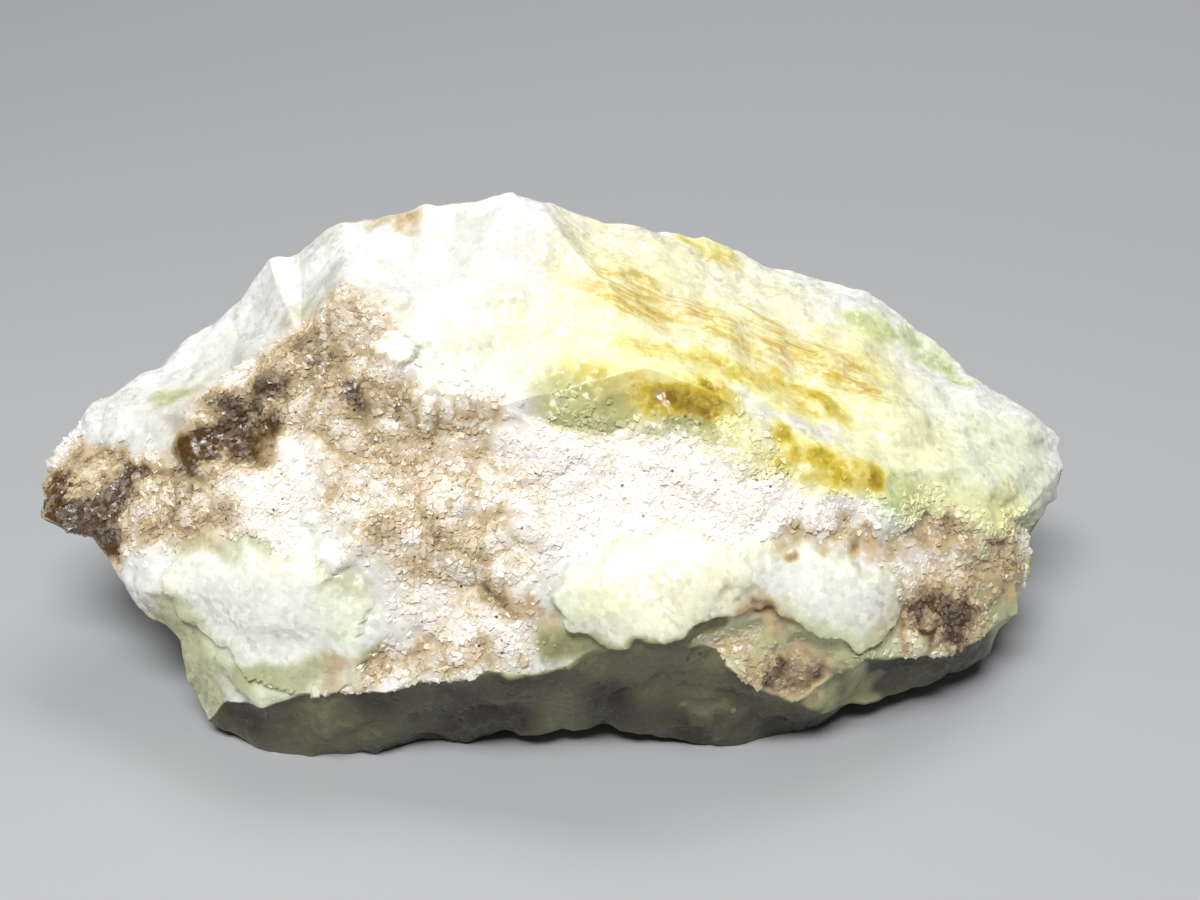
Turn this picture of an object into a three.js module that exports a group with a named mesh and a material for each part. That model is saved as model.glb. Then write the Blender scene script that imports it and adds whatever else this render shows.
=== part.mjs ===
// A hand specimen of massive datolite: one broken lump of stone with flat fracture faces, a front ledge over
// an undercut, pale nodules that stand proud of it and a few pits. Millimetres, +Z up, and -Y is the front.
// The origin is on the surface that the stone rests on, under the middle of its box.
import * as THREE from "three";
import { ConvexHull } from "three/addons/math/ConvexHull.js";
import { mergeVertices } from "three/addons/utils/BufferGeometryUtils.js";

// Driving dimensions: the stone's box
const LENGTH = 73;
const DEPTH = 42;
const HEIGHT = 31.5;

// Each broken face between three corners is divided this many times along its edges
const FACE_STEPS = 6;

// Points closer together than this, in millimetres, become one
const MERGE_DISTANCE = 0.001;

// Half the length of the line along X, through the heart, that the relief is raised away from
const CORE_HALF = 20;

// Fracture relief: chips of these sizes, in millimetres, each tilted out of its face by its slope at most
const CHIPS = [
  { size: 6.5, slope: 0.15 },
  { size: 3.2, slope: 0.16 },
];
const CHIP_SHARPNESS = 9; // how abruptly one chip gives way to the next
const CHIP_JITTER = 0.35; // share of a cell that a chip's middle may lie off the cell's middle

// Large factors that turn a cell's place into a number with no pattern, and where each kind of number starts
const SCATTER_FACTORS = new THREE.Vector3(127.1, 311.7, 74.7);
const SCATTER_SALT = 53.3;
const SCATTER_GAIN = 43758.5453;
const MIDDLE_SALT = 1;
const TILT_SALT = 4;

// A place in the stone: percent of LENGTH and DEPTH from the middle, and percent of HEIGHT above the base
function place([x, y, z]) {
  return new THREE.Vector3((x * LENGTH) / 100, (y * DEPTH) / 100, (z * HEIGHT) / 100);
}

// Every corner of the stone can be seen from its heart
const HEART = place([0, 0, 45]);

// Corners where broken faces meet, as places
const CORNERS = {
  left_tip: [
    [-50, -10, 39], [-48, -6, 46], [-44.5, -3, 56], [-46, -18, 40], [-45, -12, 27], [-40, -18, 51],
  ],
  left_crest: [
    [-40, 4, 59], [-34.5, 6, 65], [-30.5, 9, 74], [-28, 11, 82], [-25, 11, 83], [-20.5, 11, 90],
  ],
  crest: [
    [-15.5, 16, 88], [-12, 11, 95], [-4.5, 9, 99.5], [-1, 11, 95.5], [2.5, 13, 91], [7.5, 15, 89],
    [13.5, 18, 84.5], [18, 19, 77.5], [24, 20, 73], [30, 18, 69.5], [37, 16, 58.5], [40, 13, 51],
    [45.5, 6, 46],
  ],
  right_tip: [[48.5, 5, 40], [49.5, 1, 35.5], [48, -3, 30.5], [45, -9, 27]],
  right_foot: [[45, -14, 20], [43.5, -19, 14], [40, -26, 8], [32, -34, 5], [26, -39, 5.5]],
  left_flank: [[-34, -37, 9], [-35, -34, 20], [-36, -32, 33], [-41, -25, 31]],
  ledge: [
    [-30, -42.5, 12.5], [-23, -47, 19.5], [-15, -48.5, 22], [-7.5, -49, 27.5], [0.5, -48, 28],
    [4, -48.5, 33.5], [9, -48.5, 38], [12.5, -47, 37], [14.5, -46, 28], [21, -44, 15],
  ],
  front_face: [
    [-27, -35, 47], [-24.5, -40, 44], [-9.5, -40, 49], [-9.5, -43.5, 37], [-1, -45.5, 42.5],
    [7.5, -36.5, 58], [7.5, -44.5, 48], [16, -41, 50], [-9.5, -32, 61], [-20, -30, 59], [4, -33, 62.5],
  ],
  ridge: [
    [-31.5, -20, 65], [-23, -15, 80], [-19, -13, 89], [-14.5, -20, 84], [-11, -25, 76], [-5, -27, 74],
  ],
  top_face: [
    [-10, -8, 86], [0, -13, 82], [4, -6, 88], [7.5, -22, 79], [12.5, -24, 76], [16, -26, 72], [4, -28, 66],
    [11.5, -26, 67], [29.5, -8, 59], [21.5, -25, 65], [16.5, 2.5, 76.5], [24, -10, 64.5], [33, 5, 59],
  ],
  right_face: [
    [37.5, -15, 49], [29, -25, 55], [42, -16, 37], [19.5, -36, 53], [31, -29, 43], [26, -36.5, 43],
    [35, -31, 31], [43, -21, 26], [19.5, -42, 39], [27, -40.5, 25], [35, -35, 18], [43, -23, 17],
  ],
  foot: [
    [21.5, -38, 0], [13, -42, 0], [7.5, -42, 3], [0, -42, 5], [-7, -42, 5], [-11, -41, 0], [-17, -44, 0],
    [-27, -41, 0], [-32.5, -39, 4],
  ],
  back_shoulder: [
    [-34, 18, 50], [-22, 26, 70], [-8, 28, 78], [6, 32, 72], [18, 34, 60], [30, 30, 48], [40, 22, 36],
  ],
  back_face: [
    [-40, 14, 38], [-30, 36, 36], [-14, 46, 42], [2, 49, 44], [18, 46, 36], [32, 36, 28], [43, 14, 26],
  ],
  back_foot: [
    [-32, 28, 16], [-18, 42, 12], [0, 46, 14], [16, 42, 10], [30, 30, 12], [-24, 24, -3], [-10, 34, -3],
    [6, 36, -3], [18, 28, -3], [24, 10, -3],
  ],
  underside: [
    [-34, -8, 12], [-38, 4, 20], [-30, 10, 6], [30, -8, 6], [34, 6, 8], [0, 0, -4], [-14, -14, -3],
    [10, -16, -4], [-10, 14, -4], [10, 12, -4], [-24, -26, -3], [20, -20, -3],
  ],
};

// Nodules stand proud of the broken faces as low domes, and hollows and a pit are sunk in them.
// Half sizes and rise are in millimetres
const SWELLINGS = {
  left_nodule: { at: [-24.5, -42, 42], half: [6, 4, 4.2], rise: 1.2 },
  middle_nodule: { at: [7.5, -45, 47], half: [7, 4, 3.6], rise: 1 },
  right_nodule: { at: [26, -40, 39], half: [6, 4, 3.6], rise: 1 },
  tip_knob: { at: [-46, -17, 40], half: [2.6, 2.6, 2.4], rise: 1 },
  low_knob: { at: [17, -45, 24], half: [3.4, 3, 2.4], rise: 0.8 },
  left_hollow: { at: [-15, 6, 0], half: [8, 5, 5], rise: -2.4 },
  right_hollow: { at: [15, -10, 0], half: [5, 6, 5], rise: -2.2 },
  dark_pit: { at: [-29.5, -22, 63], half: [3.2, 3, 2.6], rise: -1.4 },
};

// The broken faces, as triples of corners: neighbours in the round, as seen from the heart
function brokenFaces() {
  const corners = Object.values(CORNERS).flat().map(place);
  const directions = corners.map((corner) => corner.clone().sub(HEART).normalize());
  const hull = new ConvexHull().setFromPoints(directions);
  return hull.faces.map((face) => {
    const edges = [face.edge, face.edge.next, face.edge.prev];
    return edges.map((edge) => corners[directions.indexOf(edge.head().point)]);
  });
}

// A repeatable number from -1 to 1 for a cell of space, another one for each salt
function scatter(cell, salt) {
  const wave = SCATTER_GAIN * Math.sin(cell.dot(SCATTER_FACTORS) + salt * SCATTER_SALT);
  return 2 * (wave - Math.floor(wave)) - 1;
}

// A repeatable arrow for a cell of space: three such numbers
function arrow(cell, salt) {
  return new THREE.Vector3(scatter(cell, salt), scatter(cell, salt + 1), scatter(cell, salt + 2));
}

// Height of the chipped surface at a point: each cell of space holds a tilted flat chip, and near chips blend
function chipHeight(point, { size, slope }) {
  const p = point.clone().divideScalar(size);
  const home = p.clone().floor();
  let weight = 0;
  let height = 0;
  for (let i = -1; i <= 1; i++)
    for (let j = -1; j <= 1; j++)
      for (let k = -1; k <= 1; k++) {
        const cell = new THREE.Vector3(i, j, k).add(home);
        const middle = cell.clone().addScalar(0.5).addScaledVector(arrow(cell, MIDDLE_SALT), CHIP_JITTER);
        const offset = p.clone().sub(middle);
        const share = Math.exp(-CHIP_SHARPNESS * offset.lengthSq());
        weight += share;
        height += share * arrow(cell, TILT_SALT).dot(offset);
      }
  return (slope * size * height) / weight;
}

// Rise of the nodules and hollows at a point: a dome over an ellipsoid's middle, nothing outside it
function swelling(point) {
  let total = 0;
  for (const { at, half, rise } of Object.values(SWELLINGS)) {
    const away = point.clone().sub(place(at)).divide(new THREE.Vector3(...half)).lengthSq();
    total += rise * Math.max(0, 1 - away);
  }
  return total;
}

// A point of a flat face moved out by its relief, and never below the surface that the stone rests on
function raised(point) {
  const core = HEART.clone().setX(THREE.MathUtils.clamp(point.x, -CORE_HALF, CORE_HALF));
  const outward = point.clone().sub(core).normalize();
  const relief = CHIPS.reduce((sum, chip) => sum + chipHeight(point, chip), swelling(point));
  const moved = point.clone().addScaledVector(outward, relief);
  moved.z = Math.max(0, moved.z);
  return moved;
}

// The stone's skin: each broken face as a grid of small triangles, with the relief raised on it
function stoneGeometry() {
  const points = [];
  for (const [a, b, c] of brokenFaces()) {
    const at = (i, j) => {
      const point = a.clone().multiplyScalar((FACE_STEPS - i - j) / FACE_STEPS);
      return raised(point.addScaledVector(b, i / FACE_STEPS).addScaledVector(c, j / FACE_STEPS));
    };
    for (let i = 0; i < FACE_STEPS; i++)
      for (let j = 0; j < FACE_STEPS - i; j++) {
        points.push(at(i, j), at(i + 1, j), at(i, j + 1));
        if (i + j < FACE_STEPS - 1) points.push(at(i + 1, j), at(i + 1, j + 1), at(i, j + 1));
      }
  }
  return fitToBox(mergeVertices(new THREE.BufferGeometry().setFromPoints(points), MERGE_DISTANCE));
}

// Stretches the geometry to the driving dimensions and stands it on the origin
function fitToBox(geometry) {
  geometry.computeBoundingBox();
  const { min, max } = geometry.boundingBox;
  const size = max.clone().sub(min);
  geometry.translate(-(min.x + max.x) / 2, -(min.y + max.y) / 2, -min.z);
  geometry.scale(LENGTH / size.x, DEPTH / size.y, HEIGHT / size.z);
  geometry.computeVertexNormals();
  return geometry;
}

const datolite = new THREE.MeshStandardMaterial({ color: 0xdfe2c4, roughness: 0.45, metalness: 0 });
const stone = new THREE.Mesh(stoneGeometry(), datolite);
stone.name = "stone";

const specimen = new THREE.Group();
specimen.name = "datolite_specimen";
specimen.add(stone);

export default specimen;
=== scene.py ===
# %% [markdown]
# # A hand specimen of datolite
# The object is one broken lump of massive datolite, a glassy boron mineral: white and pale green, with a
# honey-yellow zone, brown stains and a sugary front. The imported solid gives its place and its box. This
# lesson makes the fine broken skin over the same corners, strews glassy grains on it, and then lights it.

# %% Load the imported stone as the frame
import math
from collections import namedtuple

import bmesh
import bpy
import numpy as np
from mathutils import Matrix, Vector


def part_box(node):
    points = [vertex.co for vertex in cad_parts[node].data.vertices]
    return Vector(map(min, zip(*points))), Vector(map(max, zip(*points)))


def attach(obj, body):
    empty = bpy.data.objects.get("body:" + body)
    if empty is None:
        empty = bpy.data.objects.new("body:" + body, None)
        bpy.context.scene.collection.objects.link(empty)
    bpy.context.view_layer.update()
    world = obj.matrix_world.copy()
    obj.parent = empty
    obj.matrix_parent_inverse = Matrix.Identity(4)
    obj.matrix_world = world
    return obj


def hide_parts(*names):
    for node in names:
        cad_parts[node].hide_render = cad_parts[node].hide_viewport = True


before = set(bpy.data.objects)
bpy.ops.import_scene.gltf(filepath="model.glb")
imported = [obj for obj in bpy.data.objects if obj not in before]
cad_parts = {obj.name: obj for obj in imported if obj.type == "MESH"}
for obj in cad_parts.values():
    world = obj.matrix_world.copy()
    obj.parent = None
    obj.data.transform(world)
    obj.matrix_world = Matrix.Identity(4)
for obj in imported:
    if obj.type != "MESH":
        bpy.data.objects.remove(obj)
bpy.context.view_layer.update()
LOW, HIGH = (np.array(corner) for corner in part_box("stone"))
MM = 0.001
BOX = (HIGH - LOW) / MM
print("the stone's box in millimetres:", BOX.round(2))

# %% [markdown]
# ## Three small helpers
# Colours are picked as sRGB hex values, but a shader works in linear light, so one function turns them. One
# function adds a shader node with its settings and links, and one puts arrays of points and faces into a
# mesh.


# %% Helpers for colours, nodes and meshes
def linear(hex_colour):
    """An sRGB hex colour as linear red, green, blue and alpha.

    A channel c is ((c + 0.055) / 1.055) to the power of 2.4, or c / 12.92 where it is very dark."""
    srgb = np.array([int(hex_colour[i:i + 2], 16) for i in (1, 3, 5)]) / 255
    light = np.where(srgb > 0.04045, ((srgb + 0.055) / 1.055) ** 2.4, srgb / 12.92)
    return (*light.tolist(), 1.0)


def add(tree, kind, inputs=None, **settings):
    """Adds a node of a kind, sets its properties, and fills its inputs with values or links from sockets."""
    node = tree.nodes.new(kind)
    for name, value in settings.items():
        setattr(node, name, value)
    for name, value in (inputs or {}).items():
        socket = node.inputs[name]
        if isinstance(value, bpy.types.NodeSocket):
            tree.links.new(value, socket)
        else:
            socket.default_value = value
    return node


def mesh_piece(name, points, triangles, attributes, material):
    """A mesh object at the origin from points in millimetres, triples of them and values per point."""
    mesh = bpy.data.meshes.new(name)
    mesh.from_pydata(points * MM, [], triangles)
    for attribute, values in attributes.items():
        layer = mesh.attributes.new(attribute, "FLOAT", "POINT")
        layer.data.foreach_set("value", values.astype(np.float32))
    mesh.materials.append(material)
    piece = bpy.data.objects.new(name, mesh)
    bpy.context.collection.objects.link(piece)
    print(name, "has", len(points), "points and", len(triangles), "triangles")
    return piece


# %% [markdown]
# ## The camera
# It looks down on the front of the stone from about 32 degrees, at which the top and the front show as much
# of themselves as they do in the picture. The stone is close, so the near clipping distance has to be small.

# %% Camera
CAMERA_AIM = np.array([2.8, -1.4, 14.0])  # millimetres: the point at the middle of the picture
CAMERA_DISTANCE = 135.2
CAMERA_HEIGHT_DEG = 32.0
CAMERA_VIEW_DEG = 35.0  # across the picture's width
NEAR_CLIP = 0.005  # metres

camera_height = math.radians(CAMERA_HEIGHT_DEG)
towards_camera = np.array([0, -math.cos(camera_height), math.sin(camera_height)])
lens = bpy.data.cameras.new("camera")
lens.sensor_fit = "HORIZONTAL"
lens.angle = math.radians(CAMERA_VIEW_DEG)
lens.clip_start = NEAR_CLIP
camera = bpy.data.objects.new("camera", lens)
camera.location = (CAMERA_AIM + CAMERA_DISTANCE * towards_camera) * MM
camera.rotation_euler = (math.pi / 2 - camera_height, 0, 0)
bpy.context.collection.objects.link(camera)
bpy.context.scene.camera = camera
print("camera at", [round(c, 4) for c in camera.location])

# %% [markdown]
# ## The corners of the broken faces
# A broken stone is a bundle of nearly flat faces that meet at corners. Each corner is written as a place:
# percent of the box's length and depth from its middle, and percent of its height above the base. They are
# the same corners that the solid is built on, grouped by where they are on the stone.

# %% Corners
CORNERS = {
    "left_tip": [
        (-50, -10, 39), (-48, -6, 46), (-44.5, -3, 56), (-46, -18, 40), (-45, -12, 27), (-40, -18, 51),
    ],
    "left_crest": [
        (-40, 4, 59), (-34.5, 6, 65), (-30.5, 9, 74), (-28, 11, 82), (-25, 11, 83), (-20.5, 11, 90),
    ],
    "crest": [
        (-15.5, 16, 88), (-12, 11, 95), (-4.5, 9, 99.5), (-1, 11, 95.5), (2.5, 13, 91), (7.5, 15, 89),
        (13.5, 18, 84.5), (18, 19, 77.5), (24, 20, 73), (30, 18, 69.5), (37, 16, 58.5), (40, 13, 51),
        (45.5, 6, 46),
    ],
    "right_tip": [(48.5, 5, 40), (49.5, 1, 35.5), (48, -3, 30.5), (45, -9, 27)],
    "right_foot": [(45, -14, 20), (43.5, -19, 14), (40, -26, 8), (32, -34, 5), (26, -39, 5.5)],
    "left_flank": [(-34, -37, 9), (-35, -34, 20), (-36, -32, 33), (-41, -25, 31)],
    "ledge": [
        (-30, -42.5, 12.5), (-23, -47, 19.5), (-15, -48.5, 22), (-7.5, -49, 27.5), (0.5, -48, 28),
        (4, -48.5, 33.5), (9, -48.5, 38), (12.5, -47, 37), (14.5, -46, 28), (21, -44, 15),
    ],
    "front_face": [
        (-27, -35, 47), (-24.5, -40, 44), (-9.5, -40, 49), (-9.5, -43.5, 37), (-1, -45.5, 42.5),
        (7.5, -36.5, 58), (7.5, -44.5, 48), (16, -41, 50), (-9.5, -32, 61), (-20, -30, 59), (4, -33, 62.5),
    ],
    "ridge": [
        (-31.5, -20, 65), (-23, -15, 80), (-19, -13, 89), (-14.5, -20, 84), (-11, -25, 76), (-5, -27, 74),
    ],
    "top_face": [
        (-10, -8, 86), (0, -13, 82), (4, -6, 88), (7.5, -22, 79), (12.5, -24, 76), (16, -26, 72),
        (4, -28, 66), (11.5, -26, 67), (29.5, -8, 59), (21.5, -25, 65), (16.5, 2.5, 76.5), (24, -10, 64.5),
        (33, 5, 59),
    ],
    "right_face": [
        (37.5, -15, 49), (29, -25, 55), (42, -16, 37), (19.5, -36, 53), (31, -29, 43), (26, -36.5, 43),
        (35, -31, 31), (43, -21, 26), (19.5, -42, 39), (27, -40.5, 25), (35, -35, 18), (43, -23, 17),
    ],
    "foot": [
        (21.5, -38, 0), (13, -42, 0), (7.5, -42, 3), (0, -42, 5), (-7, -42, 5), (-11, -41, 0), (-17, -44, 0),
        (-27, -41, 0), (-32.5, -39, 4),
    ],
    "back_shoulder": [
        (-34, 18, 50), (-22, 26, 70), (-8, 28, 78), (6, 32, 72), (18, 34, 60), (30, 30, 48), (40, 22, 36),
    ],
    "back_face": [
        (-40, 14, 38), (-30, 36, 36), (-14, 46, 42), (2, 49, 44), (18, 46, 36), (32, 36, 28), (43, 14, 26),
    ],
    "back_foot": [
        (-32, 28, 16), (-18, 42, 12), (0, 46, 14), (16, 42, 10), (30, 30, 12), (-24, 24, -3), (-10, 34, -3),
        (6, 36, -3), (18, 28, -3), (24, 10, -3),
    ],
    "underside": [
        (-34, -8, 12), (-38, 4, 20), (-30, 10, 6), (30, -8, 6), (34, 6, 8), (0, 0, -4), (-14, -14, -3),
        (10, -16, -4), (-10, 14, -4), (10, 12, -4), (-24, -26, -3), (20, -20, -3),
    ],
}


def place(shares):
    """Millimetres from percent: the share of each side of the box."""
    return np.asarray(shares, float) * BOX / 100


HEART = place((0, 0, 45))
corners = place([corner for group in CORNERS.values() for corner in group])
print(len(corners), "corners")

# %% [markdown]
# ## Faces between the corners
# The corners can all be seen from the stone's heart. Looking out from there, neighbours are joined in
# threes: that is the convex hull of the corners' directions. Each flat face then becomes a fine triangular
# grid, because the relief that comes next can only move points that are there.

# %% Faces and their grid
FACE_STEPS = 27  # steps along each edge of a face, which puts points a few tenths of a millimetre apart
MERGE_DIGITS = 4  # decimals of a millimetre to which two points have to agree to be one


def broken_faces(corners):
    """Triples of corner numbers that face outwards: the hull of the corners' directions from the heart."""
    directions = corners - HEART
    directions /= np.linalg.norm(directions, axis=1, keepdims=True)
    mesh = bpy.data.meshes.new("directions")
    mesh.from_pydata(directions, [], [])
    shell = bmesh.new()
    shell.from_mesh(mesh)
    bmesh.ops.convex_hull(shell, input=shell.verts)
    shell.to_mesh(mesh)
    shell.free()
    triples = np.empty(len(mesh.loops), np.int32)
    mesh.loops.foreach_get("vertex_index", triples)
    bpy.data.meshes.remove(mesh)
    triples = triples.reshape(-1, 3)
    inward = np.linalg.det(directions[triples]) < 0
    triples[inward] = triples[inward][:, ::-1]
    return triples


def face_grid(face_corners, steps):
    """Points a(1-u-v) + bu + cv of every face a, b, c on a grid of u and v, merged along shared edges."""
    i, j = np.meshgrid(np.arange(steps + 1), np.arange(steps + 1), indexing="ij")
    inside = i + j <= steps
    number = np.cumsum(inside).reshape(inside.shape) - 1
    u, v = i[inside] / steps, j[inside] / steps
    points = np.einsum("mc,fcx->fmx", np.stack([1 - u - v, u, v], 1), face_corners)
    up = inside[:-1, 1:] & inside[1:, :-1]
    down = inside[1:, 1:]
    a, b, c, d = number[:-1, :-1], number[1:, :-1], number[:-1, 1:], number[1:, 1:]
    cells = np.concatenate([np.stack([a[up], b[up], c[up]], 1), np.stack([b[down], d[down], c[down]], 1)])
    triangles = (np.arange(len(points))[:, None, None] * len(u) + cells).reshape(-1, 3)
    points = points.reshape(-1, 3)
    _, first, merged = np.unique(points.round(MERGE_DIGITS), axis=0, return_index=True, return_inverse=True)
    return points[first], merged.reshape(-1)[triangles]


flat_points, skin_triangles = face_grid(corners[broken_faces(corners)], FACE_STEPS)
print(len(flat_points), "points on the flat faces")

# %% [markdown]
# ## Relief of the broken faces
# Datolite breaks into conchoidal chips. Space is cut into jittered cells, each cell holds one flat chip with
# a tilt of its own, and near chips blend by distance. Nodules are low domes and pits are sunk domes. The
# same formulas shape the solid, so both agree.

# %% Broad relief
CHIPS = [(6.5, 0.15), (3.2, 0.16)]  # size in millimetres, and slope
CHIP_SHARPNESS = 9  # how abruptly one chip gives way to the next
CELL_JITTER = 0.35  # share of a cell that a chip's or lump's middle may lie off the cell's middle
SWELLINGS = {  # the middle as a place, and the half sizes and the rise in millimetres
    "left_nodule": ((-24.5, -42, 42), (6, 4, 4.2), 1.2),
    "middle_nodule": ((7.5, -45, 47), (7, 4, 3.6), 1.0),
    "right_nodule": ((26, -40, 39), (6, 4, 3.6), 1.0),
    "tip_knob": ((-46, -17, 40), (2.6, 2.6, 2.4), 1.0),
    "low_knob": ((17, -45, 24), (3.4, 3, 2.4), 0.8),
    "left_hollow": ((-15, 6, 0), (8, 5, 5), -2.4),
    "right_hollow": ((15, -10, 0), (5, 6, 5), -2.2),
    "dark_pit": ((-29.5, -22, 63), (3.2, 3, 2.6), -1.4),
}
# Large factors that turn a cell's place into a number with no pattern. A salt gives another such number.
SCATTER_FACTORS = np.array([127.1, 311.7, 74.7])
SCATTER_STEP = 53.3
SCATTER_GAIN = 43758.5453
MIDDLE_SALT = 1
TILT_SALT = 4


def scatter(cells, salt):
    """A repeatable number from 0 to 1 for each cell of space: the fraction of a large multiple of a sine."""
    s = np.sin(cells @ SCATTER_FACTORS + salt * SCATTER_STEP) * SCATTER_GAIN
    return s - np.floor(s)


def arrows(cells, salt):
    """A repeatable arrow for each cell of space: three scattered numbers from -1 to 1."""
    return 2 * np.stack([scatter(cells, salt + k) for k in range(3)], 1) - 1


def chip_height(points, size, slope):
    """Height of tilted chips: tilt times offset, averaged over near cells by exp(-k distance squared)."""
    p = points / size
    cell = np.floor(p)
    weight, height = np.zeros(len(p)), np.zeros(len(p))
    for step in np.ndindex(3, 3, 3):
        near = cell + np.array(step) - 1
        offset = p - near - 0.5 - CELL_JITTER * arrows(near, MIDDLE_SALT)
        share = np.exp(-CHIP_SHARPNESS * (offset ** 2).sum(1))
        weight += share
        height += share * (arrows(near, TILT_SALT) * offset).sum(1)
    return slope * size * height / weight


def swelling(points):
    """Rise of the nodules and pits: a paraboloid cap over each, and nothing outside it."""
    total = np.zeros(len(points))
    for at, half, rise in SWELLINGS.values():
        away = (((points - place(at)) / half) ** 2).sum(1)
        total += rise * np.clip(1 - away, 0, None)
    return total


broad_relief = sum(chip_height(flat_points, *chip) for chip in CHIPS) + swelling(flat_points)
print("broad relief from", broad_relief.min().round(2), "to", broad_relief.max().round(2), "mm")

# %% [markdown]
# ## Packed lumps
# One step closer, the stone is a packing of lumps: angular blocks where it broke across the grain, and
# rounded lumps where it is sugary. Each cell of space holds one lump, and at every point the highest one
# shows. Where two lumps are nearly level there is a crease, which the colour later makes browner, and every
# lump is a little more or less clear than the next. So each point gets three values: height, crease and
# tone.

# %% Lumps, their creases and their tones
ANGULAR = [(4.8, 0.20), (2.4, 0.26), (1.1, 0.30)]  # size in millimetres, and slope
ROUNDED = [(4.2, 0.26), (1.7, 0.24)]
FINE = (0.7, 0.14)
CREASE_WIDTH = 0.35  # lead of one lump over the next, in cells, at which a crease ends
SMALL_CREASE = 0.7  # strength of the smaller rounded lumps' creases beside the larger ones'
TOP_SPREAD = 0.6  # how far the tops of lumps differ in height, in cells
CORNER_WEAR = 0.7  # how much a block's corners are cut back towards a ball
FAR_BELOW = -10.0  # lower than any lump, in cells
FACE_SALTS = (4, 7, 10)
TOP_SALT = 13
TONE_SALT = 14

Packing = namedtuple("Packing", "height crease tone")


def ramp(values, start, end):
    """A straight rise from 0 at the start value to 1 at the end value, and level outside them."""
    return np.clip((values - start) / (end - start), 0, 1)


def lumps(points, size, slope, rounded=False):
    """Height, crease and tone of packed lumps.

    A lump's height is its top less the way to its middle: the largest distance along three directions of
    its own, or the squared distance if it is rounded. The highest lump shows. The crease is 1 where the two
    highest are level, and the tone is a scattered number of the highest."""
    p = points / size
    cell = np.floor(p)
    best, second, tone = np.full((3, len(p)), FAR_BELOW)
    for step in np.ndindex(3, 3, 3):
        near = cell + np.array(step) - 1
        offset = p - near - 0.5 - CELL_JITTER * arrows(near, MIDDLE_SALT)
        far = np.linalg.norm(offset, axis=1)
        away = far ** 2 if rounded else CORNER_WEAR * far
        for salt in () if rounded else FACE_SALTS:
            across = arrows(near, salt)
            across /= np.linalg.norm(across, axis=1, keepdims=True)
            away = np.maximum(away, np.abs((offset * across).sum(1)))
        top = TOP_SPREAD * scatter(near, TOP_SALT) - away
        second = np.maximum(second, np.minimum(best, top))
        tone = np.where(top > best, scatter(near, TONE_SALT), tone)
        best = np.maximum(best, top)
    return Packing(slope * size * (best - best.mean()), ramp(best - second, CREASE_WIDTH, 0), tone)


angular = [lumps(flat_points, *size) for size in ANGULAR]
rounded = [lumps(flat_points, *size, rounded=True) for size in ROUNDED]
fine = lumps(flat_points, *FINE)
crease = np.maximum(rounded[0].crease, SMALL_CREASE * rounded[1].crease)
print("mean crease", crease.mean().round(2))
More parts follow.
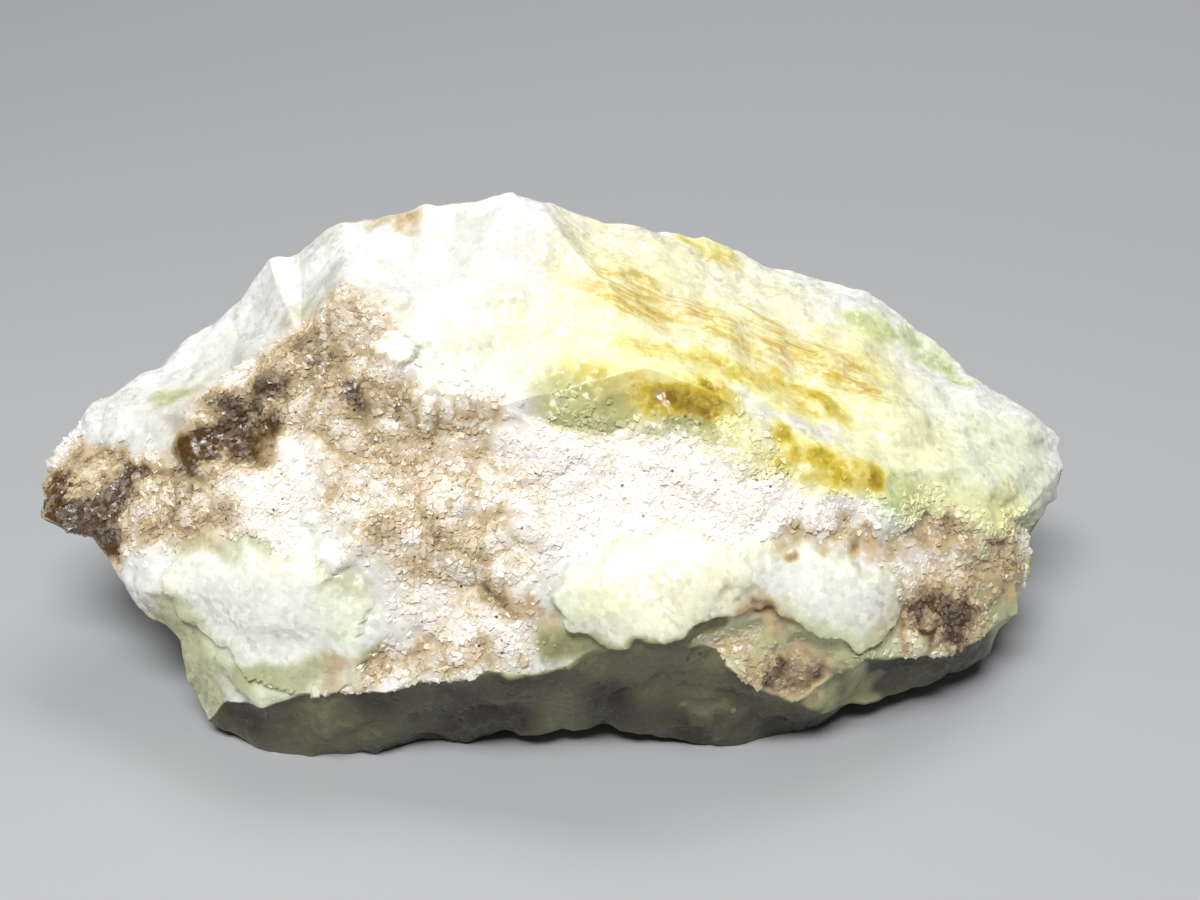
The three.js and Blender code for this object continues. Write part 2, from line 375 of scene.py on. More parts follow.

# %% [markdown]
# ## Where each kind of stone is
# The mineral changes over the specimen: brown and olive stains, pale green and honey zones, pale nodules
# with a sharp border, and sugary stone. Some brown and olive patches paint shade: under the middle nodule,
# in the undercut and beside the tip knob, and the low knob's brown is partly painted shade. Each patch is a
# stretch between two places with a radius in millimetres and a strength. The points are pushed about by
# noise first, so that the borders look grown.
# Every kind is kept as one value per point, which both the relief and the material read. The back and the
# underside are made up to match.

# %% Patches of the kinds of stone
PATCHES = {
    "brown_and_shade": {
        "left veil": ((-19, -16, 83), (-31, -18, 65), 4.2, 0.34),
        "left stain": ((-21, -17, 82), (-26, -19, 72), 2.2, 0.5),
        "stain beside the pit": ((-26, -20, 71), (-31, -19, 64), 2.0, 0.68),
        "stain right of it": ((-19, -22, 74), (-13, -25, 74), 1.4, 0.6),
        "pit": ((-27, -22, 60), (-33, -20, 60), 2.0, 1.1),
        "heart of the pit": ((-27, -22, 58), (-32, -20, 60), 1.3, 1.6),
        "tip knob": ((-49, -13, 41), (-44, -20, 41), 2.2, 1.35),
        "tip foot edge": ((-48, -17, 36), (-43, -22, 36), 1.6, 1.3),
        # painted shadow beside the tip knob, laid as brown
        "tip shadow": ((-44, -20, 43), (-40, -20, 48), 1.3, 0.9),
        "under the tip": ((-45, -18, 36), (-42, -22, 36), 1.8, 1.1),
        "tip top": ((-47, -10, 46), (-42, -15, 49), 1.6, 0.5),
        "tip slope": ((-40, -21, 47), (-34, -23, 53), 1.8, 0.5),
        "tip foot": ((-40, -24, 42), (-31, -30, 47), 1.6, 0.4),
        "sugar veil": ((-18, -24, 70), (-9, -38, 52), 5.0, 0.3),
        "ledge": ((-20, -46, 25), (-5, -48, 31), 1.4, 0.36),
        "sugar gaps": ((-17, -25, 69), (-14, -31, 61), 1.6, 0.36),
        "upper sugar gaps": ((-12, -27, 70), (-7, -28, 73), 1.4, 0.4),
        "lower sugar gaps": ((-16, -35, 56), (-10, -38, 52), 1.6, 0.4),
        "pocket": ((-6, -44, 42), (-2, -46, 39), 1.0, 0.5),
        "groove lens": ((20, -38, 51), (28, -33, 46), 1.0, 0.42),
        "groove line": ((21, -38, 48), (26, -35, 46), 0.5, 0.95),
        "groove": ((29, -33, 43), (36, -25, 37), 0.9, 0.4),
        "groove end": ((36, -25, 37), (44, -16, 30), 1.4, 0.5),
        "right end": ((39, -24, 33), (43, -21, 26), 2.2, 0.42),
        "right veil": ((30, -36, 31), (38, -29, 24), 2.4, 0.3),
        "right stain": ((33, -35, 28), (37, -32, 23), 1.9, 1.0),
        "rust spot": ((32, -34, 30), (32, -34, 30), 0.4, 1.2),
        "dark spot": ((35, -33, 20), (36, -32, 22), 0.8, 0.9),
        "low stain": ((17, -43, 38), (19, -42, 35), 1.2, 0.6),
        # the low knob's brown is partly a stain and partly painted shade where the knob lies in shade
        "low knob": ((15, -46, 22), (22, -43, 19), 2.2, 0.6),
        "crest stain": ((-17, 9, 91), (-14, 8, 92), 1.0, 0.5),
        "back stain": ((-26, 30, 46), (-15, 42, 28), 3.0, 0.6),
        "back foot": ((8, 44, 18), (24, 36, 10), 2.6, 0.55),
        "left end": ((-45, -4, 36), (-38, 8, 28), 2.4, 0.55),
    },
    "olive_and_shade": {
        "left flank": ((-33, -38, 10), (-35, -33, 24), 2.6, 0.5),
        "nodule pit": ((-16, -45, 32), (-16, -45, 31), 1.0, 1.1),
        "ledge seam": ((-29, -42, 20), (-20, -45, 26), 1.0, 0.5),
        "above the left nodule": ((-35, -29, 41), (-26, -35, 48), 0.6, 0.35),
        "right of the left nodule": ((-20, -40, 49), (-16, -43, 41), 0.8, 0.35),
        # painted shadow: this and the next patch darken the stone under the middle nodule's lower edge
        "under the middle nodule": ((-1, -47, 33), (6, -49, 33), 1.4, 0.8),
        "under its right half": ((6, -49, 34), (14, -46, 35), 1.4, 1.0),
        "low right": ((20, -44, 30), (26, -42, 24), 2.4, 0.5),
        "right foot": ((20, -41, 8), (30, -37, 10), 2.6, 0.75),
        "right foot end": ((30, -37, 10), (42, -22, 14), 2.0, 0.5),
        "right hollow": ((36, -32, 18), (41, -24, 24), 1.6, 0.6),
        "right end": ((40, -23, 30), (43, -20, 26), 2.4, 0.6),
        "tip": ((-48, -15, 40), (-44, -20, 41), 1.8, 0.95),
        "scoop": ((-1, -26, 74), (5, -26, 71), 1.6, 0.45),
        "under the scoop": ((8, -27, 68), (13, -27, 66), 0.9, 0.4),
        "socket": ((-37, -8, 61), (-34, -7, 63), 1.2, 0.5),
        "upper inclusion": ((-22, -2, 86), (-22, -1, 87), 0.7, 0.3),
        "lower inclusion": ((-25, -6, 79), (-23, -4, 82), 0.7, 0.34),
        # painted shade: the undercut on the right is made dark olive where it lies in shade
        "undercut right": ((6, -44, 8), (20, -42, 8), 2.4, 1.1),
        "back foot": ((-22, 38, 8), (20, 36, 6), 3.2, 0.7),
    },
    "green": {
        "left foot": ((-31, -38, 22), (-26, -44, 18), 1.8, 0.45),
        "left nodule rim": ((-20, -43, 44), (-18, -43, 36), 1.4, 0.25),
        "right lump": ((33, -12, 54), (43, -8, 42), 4.6, 0.34),
        "right lump front": ((31, -24, 49), (43, -15, 38), 2.6, 0.6),
        "right band": ((29, 9, 67), (38, 11, 56), 1.5, 0.85),
        "beside the low honey": ((27, -27, 56), (31, -25, 50), 1.6, 0.9),
        "right rim": ((34, -34, 14), (43, -22, 22), 2.2, 0.75),
        "low right": ((18, -44, 28), (30, -38, 26), 2.6, 0.55),
        "small spot": ((-4, -16, 81), (-4, -15, 82), 0.6, 0.8),
        "top shade": ((-8, -19, 82), (-2, -21, 79), 2.0, 0.4),
        "middle nodule": ((1, -46, 43), (3, -45, 47), 1.6, 0.3),
        "back": ((2, 46, 40), (24, 40, 34), 6.0, 0.5),
        "left end": ((-42, 8, 42), (-34, 20, 40), 4.0, 0.45),
    },
    "honey": {
        "split face": ((5, -6, 87), (28, -3, 64), 4.4, 0.4),
        "lower border": ((7, -18, 80), (24, -14, 65), 1.9, 0.85),
        "halo": ((4, 6, 90), (20, 10, 76), 3.4, 0.26),
        "lemon": ((0, -12, 84), (4, -17, 80), 3.4, 0.24),
        "right lemon": ((27, -19, 59), (33, -12, 56), 3.0, 0.24),
        "scoop": ((2, -25, 75), (13, -24, 74), 2.0, 0.75),
        "amber": ((9, -25, 73), (14, -25, 73), 1.4, 1.2),
        "low honey": ((20, -26, 65), (23, -26, 62), 1.2, 1.3),
        "low honey end": ((23, -27, 60), (27, -27, 56), 1.3, 1.0),
        "low honey edge": ((19, -29, 63), (22, -29, 60), 1.0, 0.8),
        "spill": ((14, -26, 69), (19, -29, 64), 1.6, 0.45),
        "crest edge": ((12, 14, 86), (16, 15, 82), 1.2, 0.6),
        "middle nodule": ((6, -45, 47), (14, -43, 46), 2.6, 0.16),
        "right foot": ((32, -24, 47), (42, -16, 38), 1.8, 0.3),
        "tip": ((-48, -15, 42), (-45, -19, 42), 1.4, 0.7),
        "back vein": ((18, 24, 72), (4, 38, 58), 2.2, 0.6),
        "back vein end": ((4, 38, 58), (-12, 44, 44), 1.2, 0.9),
        "back spot": ((20, 42, 46), (24, 40, 40), 1.6, 0.5),
    },
    "ochre": {
        "upper streaks": ((4, -7, 87), (14, -4, 79), 2.2, 1.0),
        "middle streaks": ((13, -8, 78), (22, -6, 70), 2.2, 0.8),
        "end": ((20, -2, 73), (28, -5, 64), 2.2, 1.1),
        "crest": ((10, 12, 87), (17, 14, 80), 1.2, 0.7),
    },
    "nodule": {
        "left": ((-31, -35, 36), (-22, -43, 40), 3.6, 1.0),
        "left foot": ((-26, -42, 28), (-20, -45, 30), 2.6, 1.0),
        "middle": ((3, -46, 44), (9, -45, 46), 2.9, 1.0),
        "middle right": ((10, -43, 48), (22, -41, 43), 2.7, 1.0),
        "right": ((24, -41, 40), (28, -38, 36), 2.4, 1.0),
        "white block": ((-15, -20, 84), (-13, -21, 83), 1.1, 1.0),
        "back": ((22, 40, 26), (28, 36, 24), 3.0, 1.0),
    },
    "sugar": {
        "upper": ((-20, -22, 72), (-7, -37, 56), 5.5, 1.0),
        "middle": ((-7, -32, 61), (15, -31, 60), 4.2, 1.0),
        "tip": ((-44, -18, 44), (-27, -31, 51), 3.6, 1.0),
        "groove": ((16, -33, 56), (45, -14, 26), 2.6, 1.0),
        "lower": ((-11, -41, 42), (-7, -47, 33), 3.2, 1.0),
        "ledge": ((-25, -44, 24), (-7, -48, 30), 1.8, 0.8),
        "stain": ((-30, -17, 68), (-20, -17, 82), 3.4, 1.0),
        "right": ((30, -37, 32), (38, -29, 24), 3.4, 0.8),
        "low knob": ((15, -46, 24), (22, -43, 20), 2.4, 0.8),
        "back": ((-30, 28, 40), (-4, 46, 26), 6.0, 1.0),
        "back right": ((27, 33, 38), (40, 16, 28), 4.5, 0.9),
        "left end": ((-46, -4, 40), (-38, 6, 28), 4.0, 0.9),
    },
    "seam": {
        "right groove": ((17, -37, 51), (26, -35, 46), 0.7, 0.8),
        "right groove middle": ((26, -35, 46), (36, -24, 38), 0.8, 1.0),
        "right groove end": ((36, -24, 38), (46, -10, 27), 0.8, 1.0),
        "above the left nodule": ((-35, -29, 41), (-20, -38, 51), 0.7, 0.8),
        "right of the left nodule": ((-20, -38, 51), (-17, -43, 40), 0.7, 0.8),
        "under the scoop": ((0, -28, 69), (13, -27, 67), 0.5, 0.6),
        "tip": ((-45, -20, 42), (-41, -20, 46), 0.7, 1.0),
        "right of the middle nodule": ((15, -44, 46), (18, -43, 36), 0.6, 0.8),
    },
}
BORDER = {"nodule": 0.08, "seam": 0.9, "honey": 0.8, "brown_and_shade": 0.7}  # softness, as a share of the radius
SOFT_BORDER = 0.5  # softness of the other kinds' borders
BORDER_REACH = 1.8  # millimetres that noise may push a border about
BORDER_CLOUDS = (5.0, 1.8, 0.8)  # sizes of that noise in millimetres
BORDER_FADE = 0.7  # strength of each size beside the one before
BORDER_SALT = 31


def cloud(points, size, salt):
    """Soft noise from 0 to 1: the scatter of the eight corners around a point, blended by smooth steps."""
    p = points / size
    cell = np.floor(p)
    t = p - cell
    t = t * t * (3 - 2 * t)
    total = np.zeros(len(p))
    for step in np.ndindex(2, 2, 2):
        total += np.where(step, t, 1 - t).prod(1) * scatter(cell + step, salt)
    return total


def bent(points):
    """Points pushed about along X, Y and Z by three sizes of cloud, each weaker than the one before."""
    push = np.zeros(points.shape)
    for octave, size in enumerate(BORDER_CLOUDS):
        salts = BORDER_SALT + 3 * octave + np.arange(3)
        push += np.stack([cloud(points, size, salt) - 0.5 for salt in salts], 1) * BORDER_FADE ** octave
    return points + BORDER_REACH * push


def off_line(points, start, end):
    """Distance in millimetres from the straight stretch between two places."""
    a, b = place(start), place(end)
    line = b - a
    share = np.clip((points - a) @ line / max(line @ line, 1e-9), 0, 1)
    return np.linalg.norm(points - a - share[:, None] * line, axis=1)


def patches(points, kind, soft):
    """The strongest of a kind's patches at each point: a smooth step across the soft border of each."""
    strength = np.zeros(len(points))
    for start, end, radius, most in PATCHES[kind].values():
        t = ramp(off_line(points, start, end) / radius, 1 + soft, 1 - soft)
        strength = np.maximum(strength, most * t * t * (3 - 2 * t))
    return strength


bent_points = bent(flat_points)
kinds = {kind: patches(bent_points, kind, BORDER.get(kind, SOFT_BORDER)) for kind in PATCHES}
print(sum(len(group) for group in PATCHES.values()), "patches of", len(kinds), "kinds")

# %% [markdown]
# ## How the kinds meet
# Faces that look down get painted shade: they are dark olive and carry neither sugar nor nodules. A nodule
# has an olive rim, and turns green away from its middle. In sugary stone, brown is stronger in the creases
# and weaker on the clean lumps, and faces that look down lose most of their brown. The blocks of the honey
# zone are each a little more or less clear, and a grey veil lies on some of the broken blocks.

# %% Mixing the kinds
FACING_DOWN = (-0.06, -0.16)  # upward shares of a normal where a face starts to look down, and fully does
DOWN_NOISE = 0.12  # noise on that share
DOWN_CLOUD = 1.5  # millimetres, as is the next size
SHADE_CLOUD = 3.0
DOWN_SALT = 60
SHADE_SALT = 61
SHADE_OLIVE_LEAST = 0.95  # painted shade: olive of a face that looks down, and what clouds add to it
SHADE_OLIVE_MORE = 0.35
RIM_OLIVE = 0.8
NODULE_GREEN = 0.4
NODULE_MIDDLE = 0.6  # softness of the middle of a nodule, which isn't green
CLEAN_TONES = (0.56, 0.96)  # tones between which a sugary lump turns clean
CREASE_BROWNING = 0.9  # brown that a sugary crease gains, and sugary stone and its clean lumps lose
SUGAR_WASH = 0.3
CLEAN_WASH = 0.6
# painted shade: share of brown that faces looking down lose, so that their dark olive shows
SHADE_BROWN_CUT = 0.9
CREASE_BROWN = 0.16  # brown of every sugary crease
HONEY_LEAST = 0.65  # honey of the dullest block, and what the tones of two sizes of block add to it
HONEY_BLOCK = 0.4
HONEY_CHIP = 0.3
VEIL_TONES = (0.375, 1.0)
NODULE_CLEAR = 0.7  # share of the veil that a nodule lacks


def point_normals(points, triangles):
    """Unit normals at points and the area around each: sums over the triangles that meet there."""
    a, b, c = points[triangles].transpose(1, 0, 2)
    cross = np.cross(b - a, c - a)
    area = np.linalg.norm(cross, axis=1) / 2
    normal = np.stack([np.bincount(triangles.ravel(), np.repeat(cross[:, k], 3)) for k in range(3)], 1)
    around = np.bincount(triangles.ravel(), np.repeat(area, 3)) / 3
    return normal / np.linalg.norm(normal, axis=1, keepdims=True), around


flat_normals, _ = point_normals(flat_points, skin_triangles)
upward = flat_normals[:, 2] + DOWN_NOISE * (cloud(flat_points, DOWN_CLOUD, DOWN_SALT) - 0.5)
faces_down = ramp(upward, *FACING_DOWN)
# painted shade: faces that look down get dark olive, standing in for the shade they lie in
painted_shade_below = faces_down * (SHADE_OLIVE_LEAST + SHADE_OLIVE_MORE * cloud(flat_points, SHADE_CLOUD, SHADE_SALT))
rim = kinds["nodule"] * (1 - kinds["nodule"])
middle = patches(bent_points, "nodule", NODULE_MIDDLE)
clean = ramp(rounded[1].tone, *CLEAN_TONES) * (1 - crease)
sugar_browning = CREASE_BROWNING * crease - SUGAR_WASH - CLEAN_WASH * clean

kinds["sugar"] *= (1 - kinds["nodule"]) * (1 - faces_down)
kinds["nodule"] *= 1 - faces_down
kinds["olive_and_shade"] = np.max([kinds["olive_and_shade"], RIM_OLIVE * rim, painted_shade_below], 0)
kinds["green"] = np.maximum(kinds["green"], NODULE_GREEN * kinds["nodule"] * (1 - middle))
kinds["brown_and_shade"] *= (1 + kinds["sugar"] * sugar_browning) * (1 - SHADE_BROWN_CUT * faces_down)
kinds["brown_and_shade"] += CREASE_BROWN * kinds["sugar"] * crease
kinds["honey"] *= HONEY_LEAST + HONEY_BLOCK * angular[1].tone + HONEY_CHIP * angular[2].tone
kinds["veil"] = ramp(angular[1].tone, *VEIL_TONES) * (1 - NODULE_CLEAR * kinds["nodule"])
print({kind: round(float(values.mean()), 3) for kind, values in kinds.items()})

# %% [markdown]
# ## The shape of the skin
# The flat points move outwards by the broad relief. A nodule is round, so points there are then relaxed,
# each towards the mean of its neighbours, which wears the folds of the faces away. Last come the packed
# lumps: rounded where the stone is sugary, angular elsewhere, and lower on the nodules, which stand out by a
# small step at their border. The base is pressed flat, and the whole is stretched into the solid's box.

# %% Points of the skin
CORE_HALF = 20  # millimetres: half the line along X that the relief is raised away from
NODULE_STEP = 0.5  # millimetres that a nodule stands out at its border
SEAM_DEPTH = 0.6  # millimetres
SUGAR_SUNK = 0.2  # millimetres that the sugary skin lies below its grains' tips
RELAX_ROUNDS = 60
RELAX_SHARE = 0.6  # share of the way to its neighbours' mean that a nodule's point moves in each round
BLOCK_SHARE = 0.65  # share of the blocks' height on plain stone, and what nodules and honey lack of it
NODULE_SMOOTH = 0.3
HONEY_SMOOTH = 0.3


def outward(points):
    """Unit directions away from the core line, which runs along X through the heart."""
    core = np.tile(HEART, (len(points), 1))
    core[:, 0] = np.clip(points[:, 0], -CORE_HALF, CORE_HALF)
    away = points - core
    return away / np.linalg.norm(away, axis=1, keepdims=True)


def relaxed(points, triangles, share):
    """Points moved, round by round, a share of the way to the mean of their neighbours along edges."""
    turns = [np.roll(triangles, turn, 1) for turn in range(3)]
    start, end = np.concatenate(turns)[:, :2].T
    count = np.bincount(start)
    for _ in range(RELAX_ROUNDS):
        mean = np.stack([np.bincount(start, points[end, k]) / count for k in range(3)], 1)
        points = points + share[:, None] * (mean - points)
    return points


blocks = sum(packing.height for packing in angular)
sugary = sum(packing.height for packing in rounded) + fine.height
block_share = BLOCK_SHARE - NODULE_SMOOTH * kinds["nodule"] - HONEY_SMOOTH * np.clip(kinds["honey"], 0, 1)
fine_relief = (1 - kinds["sugar"]) * block_share * blocks + kinds["sugar"] * sugary
fine_relief += NODULE_STEP * kinds["nodule"] - SUGAR_SUNK * kinds["sugar"] - SEAM_DEPTH * kinds["seam"]
broad_points = flat_points + outward(flat_points) * broad_relief[:, None]
round_points = relaxed(broad_points, skin_triangles, RELAX_SHARE * kinds["nodule"])
skin_points = round_points + outward(round_points) * fine_relief[:, None]
skin_points[:, 2] = np.maximum(skin_points[:, 2], 0)
low, high = skin_points.min(0), skin_points.max(0)
skin_points = LOW / MM + (skin_points - low) / (high - low) * BOX
moves = np.linalg.norm(round_points - broad_points, axis=1)
print("relaxing moved points by up to", moves.max().round(2), "mm")
print("fine relief from", fine_relief.min().round(2), "to", fine_relief.max().round(2), "mm")

# %% [markdown]
# ## Colours of the stone
# Clean datolite is white with grey clouds. Each stain is laid over it where its kind of stone is, and a
# pattern breaks it up: streaks along the split in the honey zone, and speckles elsewhere. Dark specks of ore
# sit in the sugary stone. All of it is worked out from the values per point and from noise, so it holds from
# every side. The real specks are finer than the picture shows, so they are drawn a little coarser.

# %% Stains and their patterns
STAINS = [  # kind, the values between which its colour comes in, the colour, and its pattern
    ("veil", 0.0, 1.0, "#E3E3DA", "even"),
    ("sugar", 0.2, 1.0, "#FAF4E9", "even"),
    ("nodule", 0.0, 1.0, "#FCFDEE", "even"),
    ("green", 0.0, 0.5, "#EAF1CE", "speckle"),
    ("green", 0.5, 1.0, "#BFCC97", "speckle"),
    ("honey", 0.0, 0.5, "#F5ECA4", "even"),
    ("honey", 0.45, 0.95, "#D3BC3A", "speckle"),
    ("honey", 0.9, 1.6, "#94731A", "speckle"),
    ("ochre", 0.4, 1.3, "#CDAA24", "streaks"),
    ("olive_and_shade", 0.0, 0.6, "#B4B583", "even"),
    # the dark olive is mostly painted shade: faces that look down, the undercut and under the middle nodule
    ("olive_and_shade", 0.6, 1.2, "#2F280C", "even"),
    ("brown_and_shade", 0.08, 0.5, "#CDB68C", "speckle"),
    ("brown_and_shade", 0.5, 1.1, "#583C10", "speckle"),
]
CLEAN_WHITE = linear("#FAF9F5")
CLOUD_GREY = linear("#E9EAE4")
SPECK_BROWN = linear("#4A3115")
GRAIN_WHITE = linear("#FFFFFF")
CLOUD_SIZE = 5  # millimetres, as are the sizes below
SPECKLE_SIZE = 2
STREAK_SIZE = (7, 0.35, 0.35)
SPECK_SPACING = 1.3
SPECK_RADIUS = 0.13
SPECK_CORE = 0.7  # share of a speck's radius that is fully dark
STREAK_TURN_DEG = 23  # the split face falls to the right by this much
CLOUD_LEVELS = (0.4, 0.65)  # noise values between which the white turns grey
PATTERN_LEVELS = (0.36, 0.64)  # noise values between which a pattern goes from its least to its most
SPECKLE_RANGE = (0.65, 1.3)
STREAK_RANGE = (0.45, 1.1)


def stained(tree, where):
    """The colour socket: white, then each stain mixed in by its kind's value times its pattern."""
    clouds = add(tree, "ShaderNodeTexNoise", {
        "Vector": where, "Scale": 1 / (CLOUD_SIZE * MM), "Detail": 4.0,
    })
    grey = add(tree, "ShaderNodeMapRange", {
        "Value": clouds.outputs["Fac"], "From Min": CLOUD_LEVELS[0], "From Max": CLOUD_LEVELS[1],
    })
    mix = add(tree, "ShaderNodeMix", {
        0: grey.outputs["Result"], 6: CLEAN_WHITE, 7: CLOUD_GREY,
    }, data_type="RGBA")
    grit = add(tree, "ShaderNodeTexNoise", {
        "Vector": where, "Scale": 1 / (SPECKLE_SIZE * MM), "Detail": 6.0, "Roughness": 0.7,
    })
    along = add(tree, "ShaderNodeMapping", {
        "Vector": where, "Rotation": (0, math.radians(STREAK_TURN_DEG), 0),
        "Scale": [size * MM for size in STREAK_SIZE],
    }, vector_type="TEXTURE")
    lines = add(tree, "ShaderNodeTexNoise", {"Vector": along.outputs[0], "Scale": 1.0, "Detail": 4.0})
    uneven = {"even": 1.0}
    noises = {"speckle": (grit, SPECKLE_RANGE), "streaks": (lines, STREAK_RANGE)}
    for pattern, (noise, (least, most)) in noises.items():
        ranged = add(tree, "ShaderNodeMapRange", {
            "Value": noise.outputs["Fac"], "From Min": PATTERN_LEVELS[0], "From Max": PATTERN_LEVELS[1],
            "To Min": least, "To Max": most,
        })
        uneven[pattern] = ranged.outputs["Result"]
    for kind, least, most, stain, pattern in STAINS:
        share = add(tree, "ShaderNodeAttribute", attribute_name=kind)
        spotted = add(tree, "ShaderNodeMath", {
            0: share.outputs["Fac"], 1: uneven[pattern],
        }, operation="MULTIPLY")
        depth = add(tree, "ShaderNodeMapRange", {
            "Value": spotted.outputs["Value"], "From Min": least, "From Max": most,
        })
        mix = add(tree, "ShaderNodeMix", {
            0: depth.outputs["Result"], 6: mix.outputs[2], 7: linear(stain),
        }, data_type="RGBA")
    return mix.outputs[2]


def specked(tree, where, colour):
    """The colour socket with dark specks where the stone is sugary, and then a share of white per grain."""
    specks = add(tree, "ShaderNodeTexVoronoi", {"Vector": where, "Scale": 1 / (SPECK_SPACING * MM)})
    edge = SPECK_RADIUS / SPECK_SPACING
    dark = add(tree, "ShaderNodeMapRange", {
        "Value": specks.outputs["Distance"], "From Min": edge, "From Max": SPECK_CORE * edge,
    })
    sugar = add(tree, "ShaderNodeAttribute", attribute_name="sugar")
    dirty = add(tree, "ShaderNodeMath", {
        0: dark.outputs["Result"], 1: sugar.outputs["Fac"],
    }, operation="MULTIPLY")
    mix = add(tree, "ShaderNodeMix", {
        0: dirty.outputs["Value"], 6: colour, 7: SPECK_BROWN,
    }, data_type="RGBA")
    tint = add(tree, "ShaderNodeAttribute", attribute_name="tint")
    mix = add(tree, "ShaderNodeMix", {
        0: tint.outputs["Fac"], 6: mix.outputs[2], 7: GRAIN_WHITE,
    }, data_type="RGBA")
    return mix.outputs[2]


print(len(STAINS), "stains over white")

# %% [markdown]
# ## Massive datolite as a material
# Massive datolite is a translucent, glassy mineral with a refractive index near 1.65. Its broken surface
# scatters light below the surface, so edges glow, and tiny facets glint. A facet is a cell with a lean of
# its own: its height is the lean times the way from the cell's middle. One function makes the finish,
# because the skin and the loose grains are the same mineral: only their bump and glow differ.

# %% Material of the broken stone
FACET_SIZE = 0.4  # millimetres, as is the depth of the glow
GLOW_DEPTH = 0.8
GLOW_SPREAD = (1.0, 0.9, 0.6)  # red goes furthest
GLOSS = (0.2, 0.5)  # roughness from a facet's middle outwards
DATOLITE_IOR = 1.65
SKIN_BUMP = 0.45
SKIN_GLOW = 0.4
SHARP_DEG = 35  # edges of the skin that are steeper than this stay sharp


def datolite(name, facet_bump, glow):
    """Broken massive datolite: the stained colour on a glassy base that scatters, with tilted facets."""
    finish = bpy.data.materials.new(name)
    finish.use_nodes = True
    tree = finish.node_tree
    tree.nodes.clear()
    where = add(tree, "ShaderNodeTexCoord").outputs["Object"]
    colour = specked(tree, where, stained(tree, where))
    facets = add(tree, "ShaderNodeTexVoronoi", {"Vector": where, "Scale": 1 / (FACET_SIZE * MM)})
    offset = add(tree, "ShaderNodeVectorMath", {
        0: where, 1: facets.outputs["Position"],
    }, operation="SUBTRACT")
    lean = add(tree, "ShaderNodeVectorMath", {
        0: facets.outputs["Color"], 1: (0.5, 0.5, 0.5),
    }, operation="SUBTRACT")
    tilted = add(tree, "ShaderNodeVectorMath", {
        0: offset.outputs[0], 1: lean.outputs[0],
    }, operation="DOT_PRODUCT")
    bump = add(tree, "ShaderNodeBump", {
        "Height": tilted.outputs["Value"], "Distance": 1.0, "Strength": facet_bump,
    })
    gloss = add(tree, "ShaderNodeMapRange", {
        "Value": facets.outputs["Distance"], "To Min": GLOSS[0], "To Max": GLOSS[1],
    })
    glass = add(tree, "ShaderNodeBsdfPrincipled", {
        "Base Color": colour, "Roughness": gloss.outputs["Result"], "IOR": DATOLITE_IOR,
        "Normal": bump.outputs["Normal"], "Subsurface Weight": glow, "Subsurface Radius": GLOW_SPREAD,
        "Subsurface Scale": GLOW_DEPTH * MM,
    })
    add(tree, "ShaderNodeOutputMaterial", {"Surface": glass.outputs[0]})
    return finish


skin_values = {**kinds, "tint": np.zeros(len(skin_points))}
skin_finish = datolite("massive_datolite_broken", SKIN_BUMP, SKIN_GLOW)
skin = mesh_piece("stone_skin", skin_points, skin_triangles, skin_values, skin_finish)
skin.data.shade_smooth()
skin.data.set_sharp_from_angle(angle=math.radians(SHARP_DEG))
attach(skin, "root")
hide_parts("stone")

# %% [markdown]
# ## Sugary grains
# The front is a crust of glassy grains about half a millimetre wide, each a small broken block set in the
# skin. They could be scattered as particles, but an exported model drops those, so one tapered block is
# repeated in arrays, leaned a little and set deep into the skin where it is sugary. They stay flat shaded,
# so that their faces glint.

# %% Grains
GRAIN_COUNT = 16000
GRAIN_SIZE = (0.3, 0.65)  # millimetres across
GRAIN_STRETCH = (0.7, 1.1)  # length of a grain's sides as a share of its size
GRAIN_CHIPPED = 0.15  # share of its size that a grain's corner may lie off a neat block's
GRAIN_SUNK = 0.3  # share of its size that a grain's middle lies under the skin
GRAIN_LEAN = 0.3  # slope that a grain may lean by
GRAIN_TAPER = 0.7  # width of a grain's top as a share of its foot
GRAIN_TINT = 0.15  # most of the white that a grain may be mixed with
GRAIN_BUMP = 0.2
GRAIN_GLOW = 0.0
GRAIN_CLOUD = 2.5  # millimetres: size of the clouds in which grains gather
GRAIN_SALT = 51
GRAIN_SEED = 9

chance = np.random.default_rng(GRAIN_SEED)


def grain_axes(normals):
    """Three axes for each grain: the skin's normal, leaned at random, and two across it, also random."""
    up = normals + GRAIN_LEAN * chance.uniform(-1, 1, normals.shape)
    up /= np.linalg.norm(up, axis=1, keepdims=True)
    side = np.cross(up, chance.normal(size=normals.shape))
    side /= np.linalg.norm(side, axis=1, keepdims=True)
    return np.stack([side, np.cross(up, side), up], 1)


block = np.array(list(np.ndindex(2, 2, 2))) - 0.5
block[block[:, 2] > 0, :2] *= GRAIN_TAPER
block_faces = np.array([
    (0, 1, 3), (0, 3, 2), (4, 6, 7), (4, 7, 5), (0, 4, 5), (0, 5, 1),
    (2, 3, 7), (2, 7, 6), (0, 2, 6), (0, 6, 4), (1, 5, 7), (1, 7, 3),
])
normals, around = point_normals(skin_points, skin_triangles)
odds = around * kinds["sugar"] ** 2 * cloud(skin_points, GRAIN_CLOUD, GRAIN_SALT)
seats = chance.choice(len(odds), GRAIN_COUNT, p=odds / odds.sum())
widths = GRAIN_SIZE[0] + (GRAIN_SIZE[1] - GRAIN_SIZE[0]) * chance.random(GRAIN_COUNT) ** 2
shapes = block + chance.uniform(-GRAIN_CHIPPED, GRAIN_CHIPPED, (GRAIN_COUNT, len(block), 3))
shapes *= widths[:, None, None] * chance.uniform(*GRAIN_STRETCH, (GRAIN_COUNT, 1, 3))
middles = skin_points[seats] - normals[seats] * widths[:, None] * GRAIN_SUNK
grain_points = np.einsum("gpi,gij->gpj", shapes, grain_axes(normals[seats])) + middles[:, None]
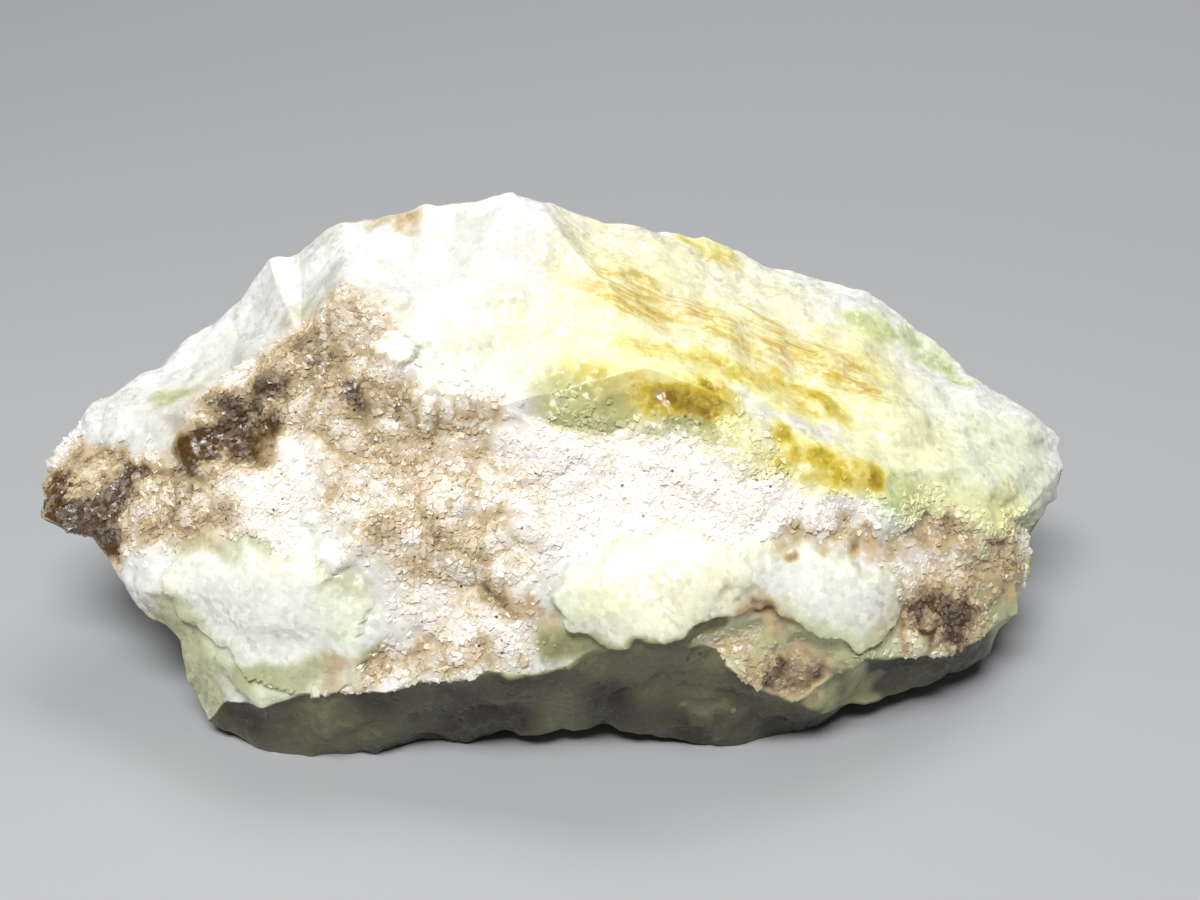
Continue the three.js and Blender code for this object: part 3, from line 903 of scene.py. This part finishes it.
grain_points = np.clip(grain_points.reshape(-1, 3), LOW / MM, HIGH / MM)
grain_triangles = (np.arange(GRAIN_COUNT)[:, None, None] * len(block) + block_faces).reshape(-1, 3)
grain_values = {name: np.repeat(values[seats], len(block)) for name, values in skin_values.items()}
grain_values["tint"] = np.repeat(GRAIN_TINT * chance.random(GRAIN_COUNT), len(block))
grain_finish = datolite("glassy_datolite_grains", GRAIN_BUMP, GRAIN_GLOW)
grains = mesh_piece("sugar_grains", grain_points, grain_triangles, grain_values, grain_finish)
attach(grains, "root")

# %% [markdown]
# ## Floor and light
# A pale floor and two large soft lights, as in a small studio: a high one from the front, which lights the
# front and the top alike and leaves the undercut in shade, and a weaker one from behind. A faint even
# surround fills the rest.

# %% Floor, lights and surround
FLOOR_HALF = 4.0  # metres
FLOOR_GREY = linear("#ABACAE")
FLOOR_ROUGHNESS = 0.9
LIGHTS = {  # the place and the size in metres, and the power in watts
    "front_light": ((-0.05, -0.22, 0.41), 0.24, 3.8),
    "back_light": ((0.08, 0.22, 0.42), 0.30, 1.5),
}
SURROUND = 0.06

floor_mesh = bpy.data.meshes.new("floor")
floor_corners = FLOOR_HALF * np.array([(-1, -1, 0), (1, -1, 0), (1, 1, 0), (-1, 1, 0)])
floor_mesh.from_pydata(floor_corners, [], [(0, 1, 2, 3)])
floor_paper = bpy.data.materials.new("matt_paper")
floor_paper.use_nodes = True
paper = floor_paper.node_tree.nodes["Principled BSDF"]
paper.inputs["Base Color"].default_value = FLOOR_GREY
paper.inputs["Roughness"].default_value = FLOOR_ROUGHNESS
floor_mesh.materials.append(floor_paper)
floor = bpy.data.objects.new("floor", floor_mesh)
bpy.context.collection.objects.link(floor)


def soft_light(name, place_m, size, watts):
    """A square light of a size in metres that looks at the origin."""
    lamp = bpy.data.lights.new(name, "AREA")
    lamp.size = size
    lamp.energy = watts
    light = bpy.data.objects.new(name, lamp)
    light.location = place_m
    aim = -np.array(place_m)
    light.rotation_euler = (math.acos(-aim[2] / np.linalg.norm(aim)), 0, math.atan2(aim[0], -aim[1]))
    bpy.context.collection.objects.link(light)


for light_name, light_values in LIGHTS.items():
    soft_light(light_name, *light_values)
world = bpy.data.worlds.new("surround")
bpy.context.scene.world = world
world.use_nodes = True
world.node_tree.nodes["Background"].inputs["Color"].default_value = (1, 1, 1, 1)
world.node_tree.nodes["Background"].inputs["Strength"].default_value = SURROUND
bpy.context.scene.view_settings.view_transform = "Standard"
print(len(LIGHTS), "lights over a floor of", 2 * FLOOR_HALF, "metres")
